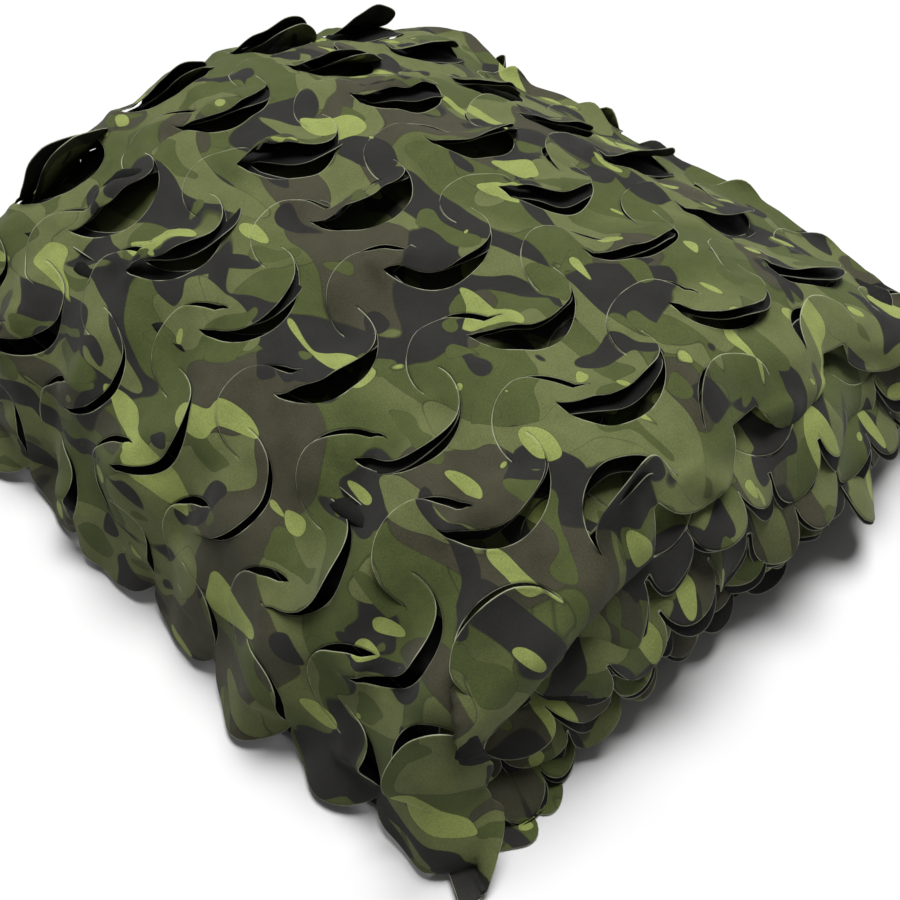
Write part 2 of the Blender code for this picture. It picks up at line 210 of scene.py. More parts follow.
THICKNESS = 0.0005
LOWEST = 0.0006
NEAR_COVER = 0.9  # how much nearer to the cover the printed layer below it lies, in spacings
NEAR_COVER_FROM = (0.05, 0.06)  # where that starts, in from the ends, and over what distance it grows
PAIR_PULL = 0.60  # how far each layer with its reverse up rises towards the printed one above, in spacings
FRAME_STEP = 0.0004
EDGE_RING = 0.0016  # from a cut to the first points beside it
RING_ROOM = 0.6
COVER_ARC_STEP = 0.0038
LAYER_ARC_STEP = 0.0045
COVER_LINE_STEP = 0.0020
COVER_GRID = 0.0042
GRID_ROOM = 0.5
GRID_START = 0.0005
TURN_GRID = 0.0058
EDGE_GRID = 0.0055
LAYER_GRID = 0.0150
EDGE_ZONE = 0.045  # how far inside a long edge the finer grid goes

# The tabs of the layers' cut edges, and the ranges of their numbers. The two layers of a pair nearly match: each
# varies the shared numbers by small ranges of its own. Some tabs droop less, by CURL.
TAB_PITCH = 0.0370
TAB_HALF = 0.48
TAB_DEPTH = 0.029
TAB_COUNT = 18
TAB_STEPS = 18
FIRST_TAB = -0.33
LEAST_TAB = 0.020
TAB_END = 0.001
TAB_ROUND = 0.8
ROUNDEST = 1.25  # how deep a tab may be, in half widths
TAB_BACK = 0.009  # how far the notches between tabs lie inside the CAD edge
TAB_RANGES = {
    "width": (0.8, 1.2),
    "size": (0.60, 1.05),
    "droop": (-0.70, 0.80),
    "cup": (-0.003, 0.006),
    "lean": (-0.22, 0.22),
    "slope": (-0.80, 0.80),
}
OWN_TAB_RANGES = {"middle": (-0.0015, 0.0015), "size": (0.60, 1.08), "droop": (-0.08, 0.08)}
CURLED_TABS = 0.16
CURL = 1.7
# How the edges roll down and how their tabs droop, both in radians, and how these cup.
ROLL_REACH = 0.030  # how far inside an edge its roll starts
EDGE_ROLL = 0.58
TIP_ROLL = 0.5
COVER_ROLL_FROM = 8  # from this layer, and over this many, the front edges take up the cover's roll
COVER_ROLL_OVER = 4
TAB_DROOP = 0.40
LEAST_DROOP = 0.25
LEAST_RATE = 1e-3
TAB_SLOPE = 0.006
CUP_OVER = 0.014
END_FADE = 0.034  # how far from a turn the edges of a layer start to droop
LAYER_SHIFT = 0.035  # how far the waves of one layer's edge are shifted against the next
ROLL_SHIFT = 0.7

# How the layers' front edges differ from the CAD edges, and where along Y: the middle and width of a bell, or
# where a change starts and over what distance it grows.
FRONT_BULGE = 0.010  # how much further the middle of the front stands out
BULGE = (0.10, 0.06)
UNDER_BACK = 0.018  # how much further back the edges of the layer under the cover lie
CORNER_BACK = 0.044  # how much further back the front edges lie at the near corner, inside the cover
CORNER_BACK_OVER = 4
CORNER_REACH = 0.075
LOW_CORNER = 0.016  # how much further the lowest layers, up to this one, stand out at the near corner
LOW_CORNER_TO = 2
LOW_CORNER_BELL = (-0.175, 0.035)
FAR_IN = 0.014  # how much further in the lower layers, up to this one, lie at the far end, and in the middle
LOW_IN = 0.006
LOW_IN_TO = 6
FAR_IN_FROM = (0.13, 0.08)
LOW_IN_BELL = (-0.01, 0.07)

# How far the hanging side stands out from the CAD line near the ground, along x.
HEM_X = (-0.30, -0.20, -0.11, -0.03, 0.03, 0.08, 0.13, 0.18, 0.23, 0.28)
HEM_OUT = (-0.010, -0.010, -0.016, -0.006, -0.008, -0.006, 0.010, -0.006, 0.006, 0.0)
HEM_ROOM = 0.013  # how much further in the layers' left turns lie towards the back, for the hem
HEM_ROOM_X = (0.12, 0.12)
HEM_INSIDE = 1e-5  # how far the hem keeps inside the strip's end
HEM_TAB_HALF = 0.0335  # the hem's scallops: one below each column of front leaves
HEM_TAB_DEPTH = 0.013
HEM_FLARE = (-0.008, 0.011)  # how far the hem stands off the pile between its scallops and in their middles
HEM_FLARE_OVER = 0.034
HEM_FLARE_POWER = 1.5
# The hem's long tab at the near corner, how it lies out on the ground, along x and Y, and how it curls up.
NEAR_TAB = {"x": 0.2780, "half": 0.0160, "depth": 0.027, "way": (0.42, -0.62), "curl": 3.0}

# Random waves of the cloth: their height, their length, their seed and how many are added up.
WAVES = {
    "front_edges": (0.005, 0.09, 12, 7),
    "roll": (0.40, 0.10, 5, 7),
    "droop": (0.50, 0.08, 6, 7),
    "cover_edge": (0.002, 0.03, 9, 7),
    "pile": (0.0022, 0.11, 24, 7),
    "pile_small": (0.0009, 0.038, 26, 7),
    "cloth": (0.0004, 0.022, 22, 7),
    "hanging": (0.0045, 0.060, 25, 4),
    "hanging_small": (0.0020, 0.05, 27, 7),
    "folds_out": (0.007, 0.10, 41, 7),
    "folds_up": (0.0035, 0.13, 42, 7),
    "hem": (0.002, 0.06, 31, 7),
}
WAVE_LENGTHS = (0.7, 1.5)
CREASES = {"height": 0.0065, "length": 0.075, "seed": 23, "count": 4, "lengths": (0.8, 1.6), "bend": 0.6, "level": 0.5}
PUCKERS = {"height": (-0.0016, 0.0016), "along": 0.016, "beside": 0.0055}
# How far below the crown the hanging side's waves and the hem's line set in, and over what distance.
HANGING_FROM = (0.12, 0.14)
HEM_FROM = (0.20, 0.10)
HANGING_SLANT = 0.22
# Each fold at the right side has a line of its own, from this Y on: its waves are shifted for each pair of
# layers, it lies further in and lower, and it fades out near the ground.
RIGHT_FOLDS_FROM = 0.150
RIGHT_SHIFT = 0.06
RIGHT_UP_SHIFT = 0.5
RIGHT_IN = 0.004
RIGHT_DOWN = 0.0018
RIGHT_GROUND = 0.04
CHANCE = np.random.default_rng(11)

# The weave: the scale of its threads, and the scale, detail and roughness of its grains.
THREADS = 1100.0
THREAD_DISTORTION = 0.5
THREAD_HEIGHT = 0.3
GRAIN = (900.0, 2.0, 0.6)
SOFT_GRAIN = (120.0, 3.0, 0.6)
SOFT_HEIGHT = 2.0
WEAVE_HEIGHT = 0.0004
PRINT = {
    "base": (0.104, 0.118, 0.043, 1),
    "green": (0.060, 0.074, 0.022, 1),
    "brown": (0.046, 0.044, 0.026, 1),
    "charcoal": (0.019, 0.0185, 0.0165, 1),
    "lime": (0.215, 0.255, 0.072, 1),
    "line": (0.016, 0.018, 0.009, 1),
}
# The blobs of the print, from the lowest to the uppermost: their colour, the place, turn and scale of their noise,
# the level that it has to pass, and its detail and distortion.
BLOBS = (
    ("green", (3.1, 0.2, 0), 0.5, (10, 16, 1), 0.500, 0.9, 0.30),
    ("brown", (7.7, 4.1, 0), 1.1, (8.5, 14, 1), 0.565, 0.8, 0.30),
    ("charcoal", (1.3, 9.4, 0), 2.3, (11, 18, 1), 0.605, 0.9, 0.30),
    ("base", (5.9, 6.6, 0), 0.2, (12, 21, 1), 0.625, 0.7, 0.30),
    ("charcoal", (4.2, 8.3, 0), 1.7, (24, 34, 1), 0.690, 0.5, 0.25),
    ("green", (8.8, 1.7, 0), 2.9, (30, 42, 1), 0.700, 0.4, 0.2),
    ("lime", (2.2, 2.9, 0), 0.9, (18, 38, 1), 0.728, 0.3, 0.15),
    ("lime", (6.4, 7.1, 0), 2.6, (40, 52, 1), 0.860, 0.1, 0.1),
)
BLOB_ROUGHNESS = 0.4
BLOB_EDGE = 0.003
BLOB_LINE = (0.002, 0.008)
LINE_STRENGTH = 0.6
GROUND_NOISE = (9.0, 1.0, 0.5)
GROUND_STEP = (0.46, 0.70)
WEAR = (60.0, 2.0, 0.6)
WEAR_STEP = (0.25, 0.60)
PALE_EDGE = (0.36, 0.37, 0.25, 1)
DULL_EDGE = (0.20, 0.21, 0.14, 1)
DARK_EDGE = (0.060, 0.066, 0.036, 1)
REVERSE_EDGE = (0.20, 0.20, 0.16, 1)
REVERSE = ((0.004, 0.004, 0.004, 1), (0.012, 0.012, 0.011, 1))
PRINTED_BUMP = 0.5
REVERSE_BUMP = 0.4
SHADE = (0.50, 0.76, 0.28)  # the least, and how much the grain and the soft grain add
PRINTED_ROUGHNESS = (0.62, 0.3)  # the least, and how much a grain adds
REVERSE_ROUGHNESS = (0.6, 0.3)
PRINTED_RIM = (0.74, 0.90)
REVERSE_RIM = (0.70, 0.85)
EDGE_GRAIN = (700.0, 2.0, 0.6)
EDGE_PATCHES = (45.0, 2.0, 0.6)
EDGE_STEP = (0.30, 0.65)

CAMERA_PLACE = (0.4981, -0.4554, 0.792)
CAMERA_LOOK = (-0.4323, 0.4461, -0.7836)
CAMERA_LENS = 58.96
CAMERA_SENSOR = 36.0
SUN_WAY = (-0.16, 0.28, 1.0)
SUN_POWER = 5.2
SUN_WIDTH = 0.55
WORLD_STRENGTH = 0.16
FLOOR_HALF = 40
FLOOR_Z = -0.0005
FLOOR_COLOUR = (0.58, 0.58, 0.58, 1)
FLOOR_ROUGHNESS = 0.9


def smooth_step(value):
    value = np.clip(value, 0, 1)
    return value * value * (3 - 2 * value)


def rises(value, start, over):
    """0 up to the start, then smoothly up to 1 over this distance."""
    return smooth_step((value - start) / over)


def falls(value, end, over):
    """0 from the end on, and 1 up to this distance before it."""
    return smooth_step((end - value) / over)


def bell(value, middle, width):
    return np.exp(-(((value - middle) / width) ** 2))


def half_circle(across):
    """The height of a round tab: 1 in its middle, 0 from its ends at -1 and 1 on."""
    return np.clip(1 - across**2, 0, 1) ** 0.5


def half_circles(value, first, pitch, half):
    """A row of round tabs."""
    place = (value - first) / pitch
    return half_circle((place - np.round(place)) * pitch / half)


def between(value, places, heights):
    """A smooth line through these heights at these places."""
    index = np.clip(np.searchsorted(places, value) - 1, 0, len(places) - 2)
    places, heights = np.array(places), np.array(heights)
    part = (value - places[index]) / (places[index + 1] - places[index])
    return heights[index] + smooth_step(part) * (heights[index + 1] - heights[index])


def waves(name, x, y):
    """A smooth random surface, as its line in WAVES says."""
    height, length, seed, count = WAVES[name]
    chance = np.random.default_rng(seed)
    total = np.zeros_like(x)
    for _ in range(count):
        turn = chance.uniform(0, TAU)
        k = TAU / (length * chance.uniform(*WAVE_LENGTHS))
        total += np.sin(k * (x * math.cos(turn) + y * math.sin(turn)) + chance.uniform(0, TAU))
    return height * (total / math.sqrt(count))


def creases(x, y):
    """Narrow random ridges between wide soft troughs."""
    chance = np.random.default_rng(CREASES["seed"])
    length, count = CREASES["length"], CREASES["count"]
    total = np.zeros_like(x)
    for _ in range(count):
        turn = chance.uniform(0, TAU)
        k = math.pi / (length * chance.uniform(*CREASES["lengths"]))
        bend = CREASES["bend"] * np.sin(chance.uniform(0, TAU) + (x - y) * TAU / (4 * length))
        total += 1 - abs(np.sin(k * (x * math.cos(turn) + y * math.sin(turn)) + bend + chance.uniform(0, TAU)))
    return CREASES["height"] * (total / count - CREASES["level"])


def share_along_x(x):
    ahead = np.clip((x - CROWN_X) / (FRONT_X - CROWN_X), 0, FURTHEST)
    behind = np.clip((CROWN_X - x) / (CROWN_X - BACK_X), 0, FURTHEST)
    return 1 - (1 - FRONT_SHARE) * ahead**END_POWER - (1 - BACK_SHARE) * behind**END_POWER


def share_along_y(y):
    right = np.clip((y - CROWN_Y) / (RIGHT_Y - CROWN_Y), 0, None)
    left = np.clip((CROWN_Y - y) / (CROWN_Y - LEFT_Y), 0, 1)
    fallen = (1 - left**LEFT_POWER) ** (1 / LEFT_POWER)
    return np.where(y > CROWN_Y, 1 - (1 - RIGHT_SHARE) * right**RIGHT_POWER, fallen)


def from_ends(x):
    return np.minimum(FRONT_X - x, x - BACK_X)


def unevenness(x, y):
    wave = WAVE * np.sin(TAU * x / WAVE_LENGTH_X) * np.cos(TAU * y / WAVE_LENGTH_Y)
    wave = wave - BACK_SAG * rises(y, *SAG_Y) * falls(x, *SAG_X)
    near = np.clip(1 - np.clip(from_ends(x), 0, None) / RUFFLE_DEPTH, 0, None)
    return 1 + wave + RUFFLE * near**2 * np.sin(TAU * y / RUFFLE_LENGTH + RUFFLE_SLANT * x)


def layer_height(layer, x, y):
    pile = CROWN_HEIGHT * share_along_x(x) * share_along_y(y) * unevenness(x, y)
    level = (layer + PAIR_PULL * (layer % 2)) / TOP
    if layer == TOP - 2:
        level = level + NEAR_COVER / TOP * rises(from_ends(x), *NEAR_COVER_FROM)
    return CLOTH_BASE + level * (pile - CLOTH_BASE)


def cover_section():
    """The covering length over the crown, as its length so far, its Y and its share of the crown's height."""
    right = LAYERS[TOP]["right"]
    part = np.arange(SECTION_STEPS) / SECTION_STEPS
    turn = np.sin(math.pi / 2 * np.arange(SECTION_STEPS + 1) / SECTION_STEPS)
    y = np.concatenate([right + (CROWN_Y - right) * part, CROWN_Y - (CROWN_Y - LEFT_Y) * turn ** (2 / LEFT_POWER)])
    share = share_along_y(y)
    kept = CROWN_HEIGHT * share >= HEM_HEIGHT
    y, share = y[kept], share[kept]
    steps = np.hypot(np.diff(y), CROWN_HEIGHT * np.diff(share))
    return np.concatenate([[0.0], np.cumsum(steps)]), y, share


SECTION_LENGTH, SECTION_Y, SECTION_SHARE = cover_section()
COVER_LENGTH = SECTION_LENGTH[-1]
CROWN_LENGTH = SECTION_LENGTH[np.argmin(abs(SECTION_Y - CROWN_Y))]


def cover_place(x, length):
    y = np.interp(length, SECTION_LENGTH, SECTION_Y)
    share = np.interp(length, SECTION_LENGTH, SECTION_SHARE)
    height = CROWN_HEIGHT * share_along_x(x) * share * unevenness(x, y)
    return np.stack([x, y, np.maximum(height, HEM_HEIGHT / 2)], 1)


def corners_drawn_in(points):
    middle = (FRONT_X + BACK_X) / 2
    along_x = np.minimum(abs(points[:, 0] - middle) / (FRONT_X - middle), 1)
    along_y = np.clip(CROWN_Y - points[:, 1], 0, None) / (CROWN_Y - LEFT_Y)
    points[:, 1] += CORNER_PULL * (along_x * along_y) ** CORNER_POWER
    return points


def printed(layer):
    """The layer with its print up that this layer lies in or right under."""
    return (layer + 1) // 2 * 2


class Stretch:
    """A part of the strip: a layer, the turn after it, or the covering length."""

    def __init__(self, kind, layer, start, length):
        self.kind, self.layer, self.start, self.length = kind, layer, start, length
        self.end = start + length
        self.row, self.leftward = LAYERS[layer], layer % 2 == 0

    def holds(self, length, beyond=0.0):
        """Which of these lengths along the strip lie in the stretch, or this far beyond it."""
        return (length >= self.start) & (length <= self.end + beyond)

    def part(self, length):
        """The share of the stretch that lies before this length along the strip."""
        return (length - self.start) / self.length

    def layer_y(self, length, left):
        """The Y of points along a layer, between its right turn and its left one at this Y."""
        start, end = (self.row["right"], left) if self.leftward else (left, self.row["right"])
        return start + self.part(length) * (end - start)

    def place(self, x, length):
        """Where the flat points at x and this far along the strip lie, before they are bent."""
        if self.kind == "cover":
            return cover_place(x, length - self.start)
        left = self.row["left"] + HEM_ROOM * falls(x, *HEM_ROOM_X)
        if self.kind == "layer":
            y = self.layer_y(length, left)
            return np.stack([x, y, layer_height(self.layer, x, y)], 1)
        y = left if self.leftward else np.full_like(x, self.row["right"])
        low, high = layer_height(self.layer, x, y), layer_height(self.layer + 1, x, y)
        angle = math.pi * (self.part(length) - 0.5)
        depth = TURN_BULGE * (CROWN_HEIGHT / TOP / 2) * np.cos(angle)
        y = y - depth if self.leftward else y + depth
        return np.stack([x, y, (low + high) / 2 + (high - low) / 2 * np.sin(angle)], 1)

    def flat_y(self, length):
        """The Y of points along the stretch, or for the covering length its Y if it lay flat."""
        if self.kind == "cover":
            return CROWN_Y + CROWN_LENGTH - (length - self.start)
        if self.kind == "turn":
            return np.full_like(length, self.row["left" if self.leftward else "right"])
        return self.layer_y(length, self.row["left"])


def strip_stretches():
    found = []
    start = 0.0
    for layer, row in enumerate(LAYERS[:TOP]):
        for kind, length in (("layer", row["right"] - row["left"]), ("turn", TURN_LENGTH)):
            found.append(Stretch(kind, layer, start, length))
            start += length
    return [*found, Stretch("cover", TOP, start, COVER_LENGTH)]


STRETCHES = strip_stretches()
UNDER, TOP_TURN, COVER = STRETCHES[-3:]


def folded(x, length):
    """Where points of the flat strip lie in the bundle, before they are bent."""
    points = np.zeros((len(x), 3))
    for stretch in STRETCHES:
        mine = (length >= stretch.start) & ((length < stretch.end) | (stretch is COVER))
        if mine.any():
            points[mine] = stretch.place(x[mine], length[mine])
    return corners_drawn_in(points)


def unit(vectors):
    """These vectors at length 1."""
    return vectors / (np.linalg.norm(vectors, axis=1)[:, None] + TINY)


def strip_frame(x, length):
    """The points and the directions along x, along the strip and off its printed face."""
    across = unit(folded(x + FRAME_STEP, length) - folded(x - FRAME_STEP, length))
    low, high = np.clip(length - FRAME_STEP, 0, None), np.minimum(length + FRAME_STEP, COVER.end)
    along = unit(folded(x, high) - folded(x, low))
    return folded(x, length), across, along, unit(np.cross(along, across))


def pick(limits):
    """A random number from this range."""
    return CHANCE.uniform(*limits)


def leaf_cut(kind, x, length, bend, gap=0.0, half=HALF_ANGLE, end=HALF_ANGLE):
    """One slit: its leaf's kind and middle, how far the whole leaf turns up, in degrees, the widest opening that
    its buckled rim leaves, in millimetres, and its unevenness."""
    cut = {
        "facing": kind["facing"],
        "radius": kind["radius"],
        "x": x,
        "length": length,
        "bend": math.radians(bend),
        "gap": gap / 1000 * pick(ODD_GAPS),
        "at": math.radians(pick(kind["at"])),
        "spread": math.radians(pick(kind["spread"])),
        "ends": (-half, end),
    }
    for name, limits in RIM_RANGES.items():
        calm = name == "twist" and abs(bend) > CALM_FROM
        cut[name] = 0.0 if calm else pick(limits)
    return cut


def repeats(rows, columns=range(COLUMN_COUNT)):
    return [(kind, column, row) for kind in (FRONT_LEAF, BACK_LEAF) for column in columns for row in rows]


def leaf_place(kind, column, row):
    """Where the middle of one of the cover's leaves lies: x, and Y laid flat."""
    x = FIRST_X + column * PITCH_X + kind["shift_x"]
    return x, FIRST_Y + row * PITCH_Y + column * STEP_Y + kind["shift_y"]


def half_angle(x, limit, radius):
    """How far round a back leaf's slit can go before it meets the edge at this x."""
    return min(HALF_ANGLE, math.acos(max(-1.0, (x - limit) / radius)))


def cover_cuts():
    """The slits of the covering length."""
    cuts = []
    for kind, column, row in repeats(COVER_ROWS):
        radius = kind["radius"]
        x, y = leaf_place(kind, column, row)
        length = CROWN_LENGTH - (y - CROWN_Y)
        limit = COVER.row["front"] + float(cover_front("reach", y)) - SIDE_MARGIN
        reach = min(1.0, (COVER_LENGTH - HEM_MARGIN - length) / radius)
        if x + kind["room"] * radius >= limit or length < radius + SIDE_MARGIN or reach < LEAST_REACH:
            continue
        if kind is FRONT_LEAF:
            usual = pick(TOP_BEND if row > HANGING_TO else HANGING_BEND)
            bend, gap, half = FRONT_BENDS.get((row, column), usual), FRONT_GAPS[row][column], HALF_ANGLE
        else:
            usual = pick(BACK_BEND)
            bend, gap, half = BACK_BENDS.get((row, column), usual), BACK_GAP, half_angle(x, limit, radius)
        if abs(bend) > CALM_FROM:
            gap *= CALM_GAP
        end = min(half, math.asin(reach)) if reach < 0.99 else half
        cuts.append(leaf_cut(kind, x, COVER.start + length, bend, gap, half, end))
    return cuts


def under_cuts(cuts):
    """The slits of the layer right under the cover, each below one of the cover's, with its leaf pushed up too."""
    found = []
    for cut in cuts:
        y = np.interp(cut["length"] - COVER.start, SECTION_LENGTH, SECTION_Y)
        along = y - UNDER.row["left"] + pick(NESTED["along"])
        room = cut["radius"] + SIDE_MARGIN
        if room < along < UNDER.length - room:
            kind = FRONT_LEAF if cut["facing"] > 0 else BACK_LEAF
            bend = -math.degrees(cut["bend"]) * pick(NESTED["bend"])
            nested = leaf_cut(kind, cut["x"] + pick(NESTED["x"]), UNDER.start + along, bend)
            nested.update({name: -cut[name] for name in ("twist", "cup", "at")})
            nested.update({name: NESTED["buckling"] * cut[name] for name in ("rise", "arch")})
            nested.update(gap=cut["gap"] * pick(NESTED["gap"]), spread=cut["spread"])
            if cut["bend"] > CLOSED_FROM and y > CLOSED_Y:
                nested.update(bend=CLOSED_BEND, gap=0.0)
            found.append(nested)
    return found


def layer_cuts(stretch):
    """The slits of an inner layer. Those far from its cut edges are left out, because they are never seen."""
    shift_x, shift_y = CHANCE.uniform(0, PITCH_X), CHANCE.uniform(0, PITCH_Y)
    row, found = stretch.row, []
    for kind, column, step in repeats(LAYER_ROWS, range(-1, COLUMN_COUNT + 1)):
        x = FIRST_X + column * PITCH_X + kind["shift_x"] + shift_x - PITCH_X / 2
        along = step * PITCH_Y + shift_y + kind["shift_y"]
        room = kind["radius"] + SIDE_MARGIN
        if room < min(x - row["back"], row["front"] - x) <= SEEN_TO and room < along < stretch.length - room:
            found.append(leaf_cut(kind, x, stretch.start + along, pick(LAYER_BEND)))
    return found


def spring_cut(kind, x, stretch, length, straight, rise):
    """A slit that lies across a right turn. Its leaf doesn't follow the turn, but stands off it."""
    cut = leaf_cut(kind, x, length, SPRING_BEND)
    cut["spring"] = {"from": stretch.end + SPRING_BEYOND, "straight": straight, "rise": math.radians(rise)}
    return cut


def turn_cuts(stretch):
    """The slits that lie across a right turn."""
    row, found = stretch.row, []
    shift = CHANCE.uniform(0, PITCH_X)
    for column in range(COLUMN_COUNT):
        x = FIRST_X + column * PITCH_X + shift - PITCH_X / 2
        if row["back"] + TURN_MARGIN < x < row["front"] - TURN_MARGIN:
            kind = FRONT_LEAF if column % 2 else BACK_LEAF
            length = stretch.start + stretch.length / 2 + pick(SPRING_ODDS)
            found.append(spring_cut(kind, x, stretch, length, pick(SPRING), pick(SPRING_RISE)))
    return found


def top_turn_cuts():
    """The slits across the turn into the covering length: a row of its back leaves."""
    found = []
    for column, (straight, rise) in TOP_SPRINGS.items():
        x, y = leaf_place(BACK_LEAF, column, TOP_SPRING_ROW)
        length = COVER.start + CROWN_LENGTH - (y - CROWN_Y)
        cut = spring_cut(BACK_LEAF, x, TOP_TURN, length, straight, rise)
        half = half_angle(x, COVER.row["front"] - SIDE_MARGIN, BACK_LEAF["radius"])
        cut["ends"] = (-half, half)
        found.append(cut)
    return found


def tab_table(layer, side):
    """A cut edge's row of tabs: each one's middle, half width and other numbers."""
    front = side == "front"
    chance = np.random.default_rng(100 * ((layer + 1) // 2) + front)
    own = np.random.default_rng(1000 + 100 * layer + front)

    def shared(name):
        return chance.uniform(*TAB_RANGES[name], TAB_COUNT)

    def varied(name):
        return own.uniform(*OWN_TAB_RANGES[name], TAB_COUNT)

    widths = shared("width") * TAB_PITCH
    ends = np.cumsum(widths) + FIRST_TAB + chance.uniform(0, TAB_PITCH)
    return {
        "middle": ends - widths / 2 + varied("middle"),
        "half": widths * TAB_HALF,
        "size": shared("size") * varied("size"),
        "droop": shared("droop") - CURL * (chance.uniform(0, 1, TAB_COUNT) < CURLED_TABS) + varied("droop"),
        "cup": shared("cup"),
        "lean": shared("lean"),
        "slope": shared("slope"),
    }


def tabs_at(layer, side, y):
    """The numbers of the tab at each y, and the place across it, from -1 to 1."""
    table = tab_table(layer, side)
    index = np.clip(np.searchsorted(table["middle"] + table["half"], y), 0, TAB_COUNT - 1)
    found = {name: numbers[index] for name, numbers in table.items()}
    found["across"] = np.clip((y - found["middle"]) / found["half"], -1, 1)
    return found


def cover_front(column, y):
    return np.interp(y, COVER_FRONT["y"], COVER_FRONT[column])


def corner_back(layer):
    return CORNER_BACK * min(1.0, max(0, printed(layer) - 1) / CORNER_BACK_OVER)


def notch_line(layer, side):
    """The x of the notches of a layer's edge, before the front edges get their shape."""
    x = LAYERS[printed(layer)][side] - OUTWARD[side] * TAB_BACK
    return x - OUTWARD[side] * UNDER_BACK if layer == TOP - 1 else x


def notch_x(stretch, side, length):
    """The x of the notches of a long edge."""
    layer, front = stretch.layer, side == "front"
    here = notch_line(layer, side)
    if stretch.kind == "turn":
        there = notch_line(layer + 1, side)
        if front and layer + 1 == TOP:
            there = COVER.row["front"] + cover_front("reach", COVER_FRONT["y"][-1])
        if front and stretch.leftward:
            here, there = here - corner_back(layer), there - corner_back(layer + 1)
        return here + stretch.part(length) * (there - here)
    if not front:
        return np.full_like(length, here)
    y = stretch.flat_y(length)
    if stretch.kind == "cover":
        return COVER.row["front"] + cover_front("reach", y)
    level = printed(layer)
    bulge = FRONT_BULGE * bell(y, *BULGE) * math.sin(math.pi * level / TOP)
    here = here + bulge + waves("front_edges", y, np.full_like(y, LAYER_SHIFT * level))
    here = here - corner_back(level) * falls(y, LAYERS[level]["left"] + CORNER_REACH, CORNER_REACH)
    if level <= LOW_CORNER_TO:
        here = here + LOW_CORNER * bell(y, *LOW_CORNER_BELL)
    if level <= LOW_IN_TO:
        here = here - FAR_IN * rises(y, *FAR_IN_FROM) - LOW_IN * bell(y, *LOW_IN_BELL)
    return here


def tab_line(stretch, side):
    """A layer's front or back edge: how far it lies out from its notches, and the length along the strip."""
    row, table = stretch.row, tab_table(stretch.layer, side)
    found = [(0.0, row["left"]), (0.0, row["right"])]
    turn = np.linspace(-math.pi / 2, math.pi / 2, TAB_STEPS + 1)
    for middle, half, size in zip(table["middle"], table["half"], table["size"]):
        low, high = max(middle - half, row["left"] + TAB_END), min(middle + half, row["right"] - TAB_END)
        if high - low >= LEAST_TAB:
            middle, half = (low + high) / 2, (high - low) / 2
            out = min(TAB_DEPTH * size, ROUNDEST * half) * np.cos(turn) ** TAB_ROUND
            found += zip(out, middle + half * np.sin(turn))
    out, y = np.array(sorted(found, key=lambda point: point[1])).T
    if stretch.leftward:
        out, y = out[::-1], y[::-1]
    return out[:-1], (stretch.start + abs(y - y[0]))[:-1]


def cover_line(stretch, side):
    """The same for the covering length."""
    length = np.arange(stretch.start, stretch.end, COVER_LINE_STEP)
    y = stretch.flat_y(length)
    if side == "front":
        out = half_circles(y - FIRST_Y, (COLUMN_COUNT - 1) * STEP_Y, PITCH_Y, FRONT_LEAF["radius"])
        out = cover_front("scallop", y) * out
    else:
        out = BACK_SCALLOP * half_circles(y, BACK_SCALLOP_Y, PITCH_Y, BACK_LEAF["radius"])
    return out, length


def turn_line(stretch, side):
    return 0.0, stretch.start + stretch.length * np.arange(4) / 4


def long_edge(stretches, side):
    """The front or back edge of neighbouring stretches as points (x, length), in the direction of the strip."""
    found = []
    for stretch in stretches:
        line = {"layer": tab_line, "turn": turn_line, "cover": cover_line}[stretch.kind]
        out, length = line(stretch, side)
        found.append(np.stack([notch_x(stretch, side, length) + OUTWARD[side] * out, length], 1))
    return np.concatenate(found)


def hem_scallop(x):
    """1 in the middle of each of the hem's scallops, 0 between them."""
    return half_circles(x, FIRST_X, PITCH_X, HEM_TAB_HALF)


def outline_points(stretches, step):
    """The outline of these neighbouring stretches, laid flat, counterclockwise."""
    front, back = long_edge(stretches, "front"), long_edge(stretches, "back")
    ends = []
    for length, at in ((stretches[0].start, 0), (stretches[-1].end, -1)):
        hem = at == -1 and stretches[-1] is COVER
        low, high = back[at, 0], front[at, 0]
        count = round((high - low) / (step / 2 if hem else step))
        x = low + (high - low) * (np.arange(count - 1) + 1) / count
        y = np.full_like(x, length)
        if hem:
            y += HEM_TAB_DEPTH * (hem_scallop(x) - 1) - HEM_INSIDE
            near = half_circle((x - NEAR_TAB["x"]) / NEAR_TAB["half"])
            y = np.where(near > 0, np.maximum(y, length - HEM_TAB_DEPTH / 2 + NEAR_TAB["depth"] * near), y)
        ends.append(np.stack([x, y], 1))
    return np.concatenate([ends[0], front, ends[1][::-1], back[::-1]])


def inset(outline, by):
    """The points of a closed outline moved in by this much."""
    along = unit(np.roll(outline, -1, 0) - np.roll(outline, 1, 0))
    return outline + by * np.stack([-along[:, 1], along[:, 0]], 1)


def inside_outline(points, outline):
    """The points that lie inside a closed outline."""
    found = np.zeros(len(points), bool)
    x, y = points[:, 0], points[:, 1]
    for (ax, ay), (bx, by) in zip(outline, np.roll(outline, -1, 0)):
        crossing = (ay > y) != (by > y)
        if crossing.any():
            found ^= crossing & (x < (bx - ax) * (y - ay) / (by - ay + 1e-15) + ax)
    return points[found]


def arc(cut, radius, count):
    """Points along a slit, at this radius round its leaf's middle."""
    angle = np.linspace(*cut["ends"], count)
    across = cut["facing"] * radius * np.cos(angle)
    return np.stack([cut["x"] + across, cut["length"] + radius * np.sin(angle)], 1)


def hex_grid(low, high, step):
    rows = np.arange(low[1], high[1], step * math.sqrt(0.75))
    found = []
    for i, y in enumerate(rows):
        x = np.arange(low[0] + (i % 2) * step / 2, high[0], step)
        found.append(np.stack([x, np.full_like(x, y)], 1))
    return np.concatenate(found)


